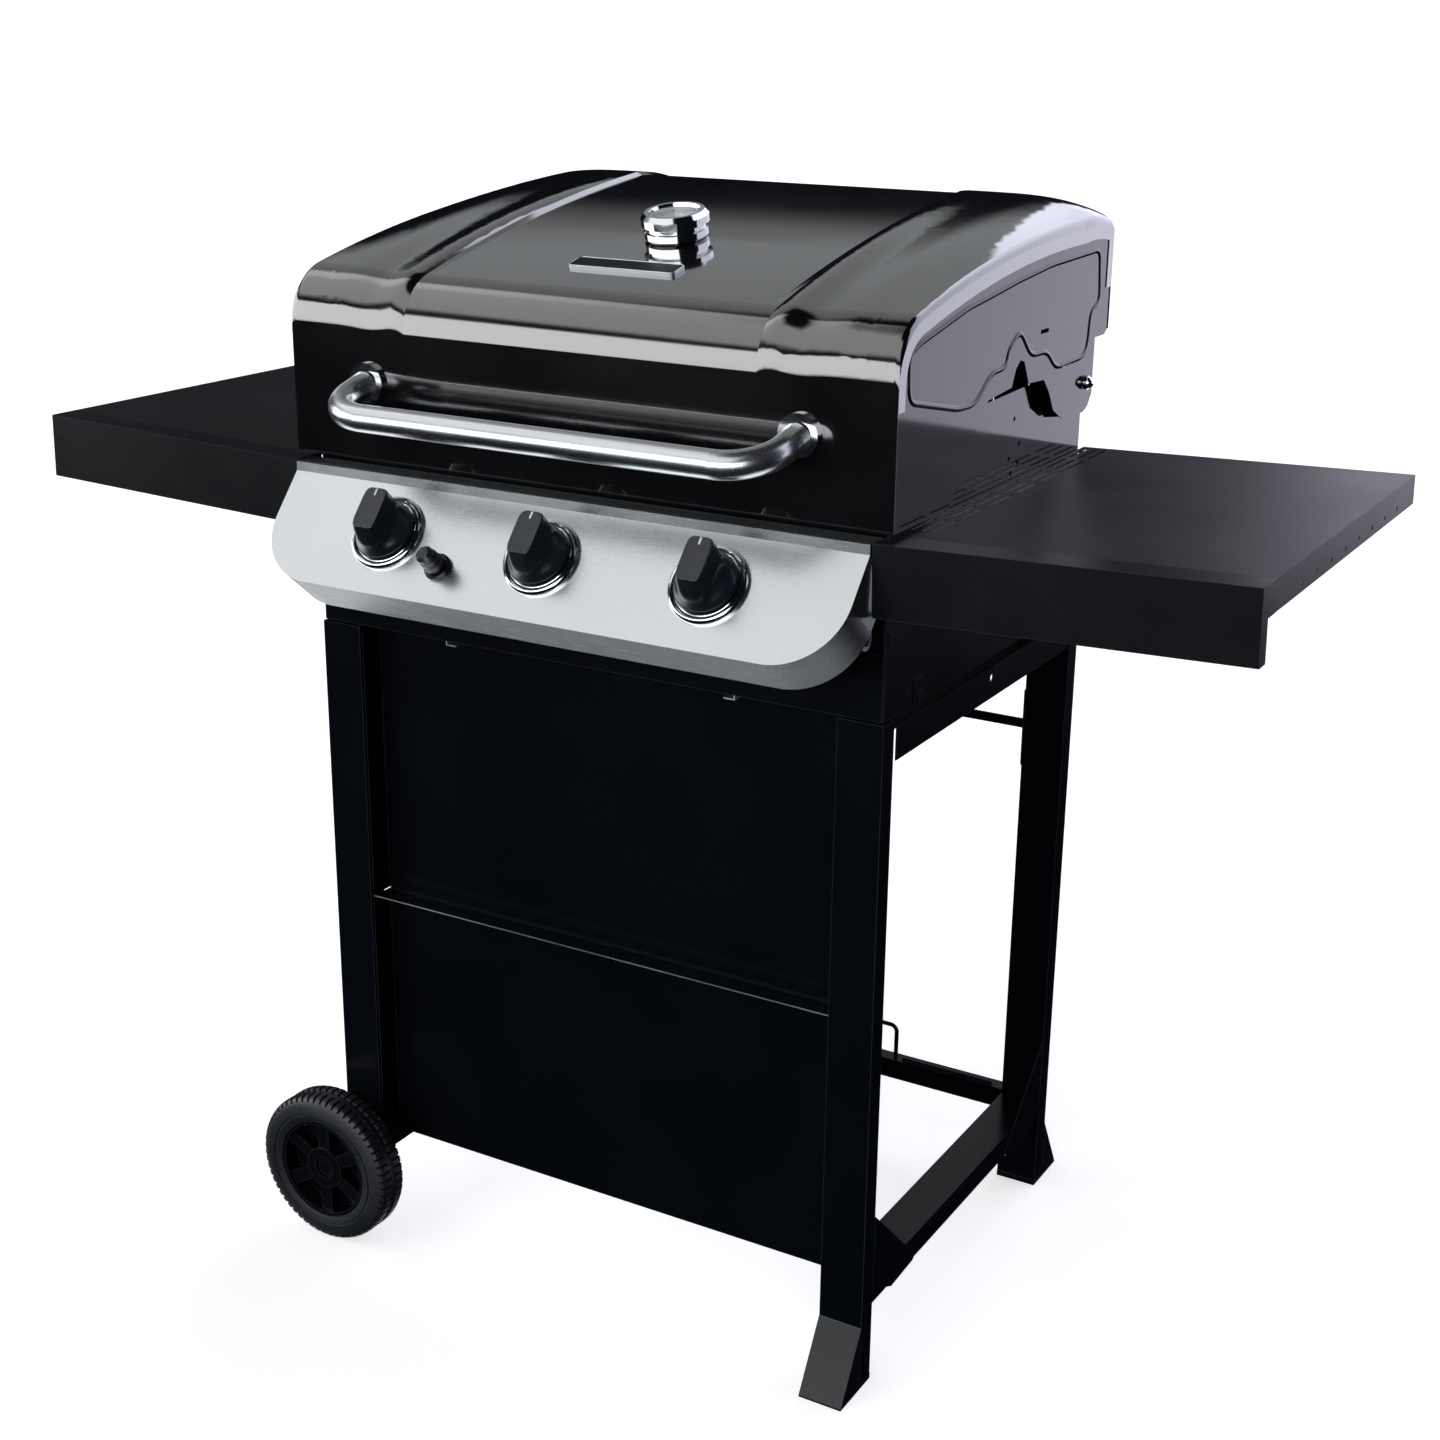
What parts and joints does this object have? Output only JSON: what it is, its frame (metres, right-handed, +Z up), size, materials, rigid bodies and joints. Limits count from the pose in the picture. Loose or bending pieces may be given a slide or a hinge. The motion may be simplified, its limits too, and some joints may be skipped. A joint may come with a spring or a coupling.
{
  "type": "gas barbecue grill",
  "caption": "Wheeled gas barbecue grill with hinged lid, side shelves, cooking grates and warming rack over a burner box, control knobs, igniter button, and an open cart on wheels and feet.",
  "frame": {"origin": "centre of the plan outline at floor level", "axes": "+X to the right as seen by a person facing the front, +Y from the control panel to the back, +Z up"},
  "size_m": [1.3, 0.6394, 1.112],
  "materials": {
    "black_steel": "satin",
    "lid_enamel": "gloss",
    "lid_side_paint": "satin",
    "stainless": "brushed",
    "bright_chrome": "polished",
    "zinc_steel": "satin",
    "cast_grate": "matte",
    "black_plastic": "matte",
    "knob_plastic": "satin",
    "tyre_black": "matte",
    "brass": "satin"
  },
  "bodies": {
    "cart": {"axle": "zinc_steel", "axle_caps": "black_plastic", "body_apron": "black_steel", "body_back": "black_steel", "body_screws": "black_steel", "body_sides": "black_steel", "brace_brackets": "black_steel", "burners": "stainless", "control_panel": "stainless", "corner_gussets": "black_steel", "feet": "black_plastic", "firebox_back": "black_steel", "firebox_floor": "black_steel", "firebox_front": "black_steel", "firebox_sides": "lid_side_paint", "front_panel_lower": "black_steel", "front_panel_upper": "black_steel", "front_top_rail": "black_steel", "gas_manifold": "zinc_steel", "hinge_pins": "bright_chrome", "igniter_body": "black_plastic", "knob_bezels": "bright_chrome", "legs_left": "black_steel", "legs_right": "black_steel", "rear_brace_upper": "black_steel", "rear_rail_lower": "black_steel", "shelf_fascias": "black_plastic", "shelf_supports": "black_steel", "side_rails_lower": "black_steel", "side_rails_upper": "black_steel", "side_shelves": "black_steel", "support_ledges": "black_steel", "tank_wire": "black_steel", "tray_rails": "zinc_steel", "wheel_spacers": "black_plastic"},
    "lid": {"lid_hood": "lid_enamel", "lid_sides": "lid_side_paint", "lid_handle": "stainless", "handle_collars": "bright_chrome", "handle_screws": "zinc_steel", "thermometer_case": "bright_chrome"},
    "front_wheel": {"wheel_front": "black_plastic", "tyre_front": "tyre_black"},
    "rear_wheel": {"wheel_rear": "black_plastic", "tyre_rear": "tyre_black"},
    "stem_left": {"valve_stem_1": "brass"},
    "stem_middle": {"valve_stem_2": "brass"},
    "stem_right": {"valve_stem_3": "brass"},
    "knob_left": {"knob_1": "knob_plastic"},
    "knob_middle": {"knob_2": "knob_plastic"},
    "knob_right": {"knob_3": "knob_plastic"},
    "igniter": {"igniter_button": "knob_plastic"},
    "tray": {"grease_tray": "zinc_steel", "cup_hanger": "zinc_steel"},
    "cup": {"grease_cup": "zinc_steel"},
    "grate_left": {"cooking_grate_left": "cast_grate"},
    "grate_right": {"cooking_grate_right": "cast_grate"},
    "rack": {"warming_rack": "bright_chrome"},
    "tents": {"heat_tents": "stainless"}
  },
  "joints": [
    {"name": "lid_hinge", "type": "hinge", "parent": "cart", "child": "lid", "pos_m": [0, 0.20918, 0.931], "axis": [-1, 0, 0], "range_deg": [0, 85]},
    {"name": "front_wheel_spin", "type": "hinge", "parent": "cart", "child": "front_wheel", "pos_m": [-0.3075, -0.24782, 0.084], "axis": [0, 1, 0], "continuous": true},
    {"name": "rear_wheel_spin", "type": "hinge", "parent": "cart", "child": "rear_wheel", "pos_m": [-0.3075, 0.29918, 0.084], "axis": [0, 1, 0], "continuous": true},
    {"name": "knob_left_turn", "type": "hinge", "parent": "cart", "child": "stem_left", "pos_m": [-0.1755, -0.2736, 0.80893], "axis": [0, -0.766, 0.6428], "range_deg": [0, 180]},
    {"name": "knob_left_push", "type": "slide", "parent": "stem_left", "child": "knob_left", "axis": [0, 0.766, -0.6428], "range_m": [0, 0.003], "stiffness_N_per_m": 900, "springref_m": -0.004},
    {"name": "knob_middle_turn", "type": "hinge", "parent": "cart", "child": "stem_middle", "pos_m": [0, -0.2736, 0.80893], "axis": [0, -0.766, 0.6428], "range_deg": [0, 180]},
    {"name": "knob_middle_push", "type": "slide", "parent": "stem_middle", "child": "knob_middle", "axis": [0, 0.766, -0.6428], "range_m": [0, 0.003], "stiffness_N_per_m": 900, "springref_m": -0.004},
    {"name": "knob_right_turn", "type": "hinge", "parent": "cart", "child": "stem_right", "pos_m": [0.1755, -0.2736, 0.80893], "axis": [0, -0.766, 0.6428], "range_deg": [0, 180]},
    {"name": "knob_right_push", "type": "slide", "parent": "stem_right", "child": "knob_right", "axis": [0, 0.766, -0.6428], "range_m": [0, 0.003], "stiffness_N_per_m": 900, "springref_m": -0.004},
    {"name": "igniter_push", "type": "slide", "parent": "cart", "child": "igniter", "axis": [0, 0.766, -0.6428], "range_m": [0, 0.004], "stiffness_N_per_m": 500, "springref_m": -0.004},
    {"name": "grease_tray_slide", "type": "slide", "parent": "cart", "child": "tray", "axis": [0, 1, 0], "range_m": [0, 0.34]},
    {"name": "grease_cup_lift", "type": "slide", "parent": "tray", "child": "cup", "axis": [0, 0, 1], "range_m": [0, 0.012]},
    {"name": "grate_left_lift", "type": "slide", "parent": "cart", "child": "grate_left", "axis": [0, 0, 1], "range_m": [0, 0.04]},
    {"name": "grate_right_lift", "type": "slide", "parent": "cart", "child": "grate_right", "axis": [0, 0, 1], "range_m": [0, 0.04]},
    {"name": "warming_rack_lift", "type": "slide", "parent": "cart", "child": "rack", "axis": [0, 0, 1], "range_m": [0, 0.05]},
    {"name": "heat_tents_lift", "type": "slide", "parent": "cart", "child": "tents", "axis": [0, 0, 1], "range_m": [0, 0.005]}
  ]
}
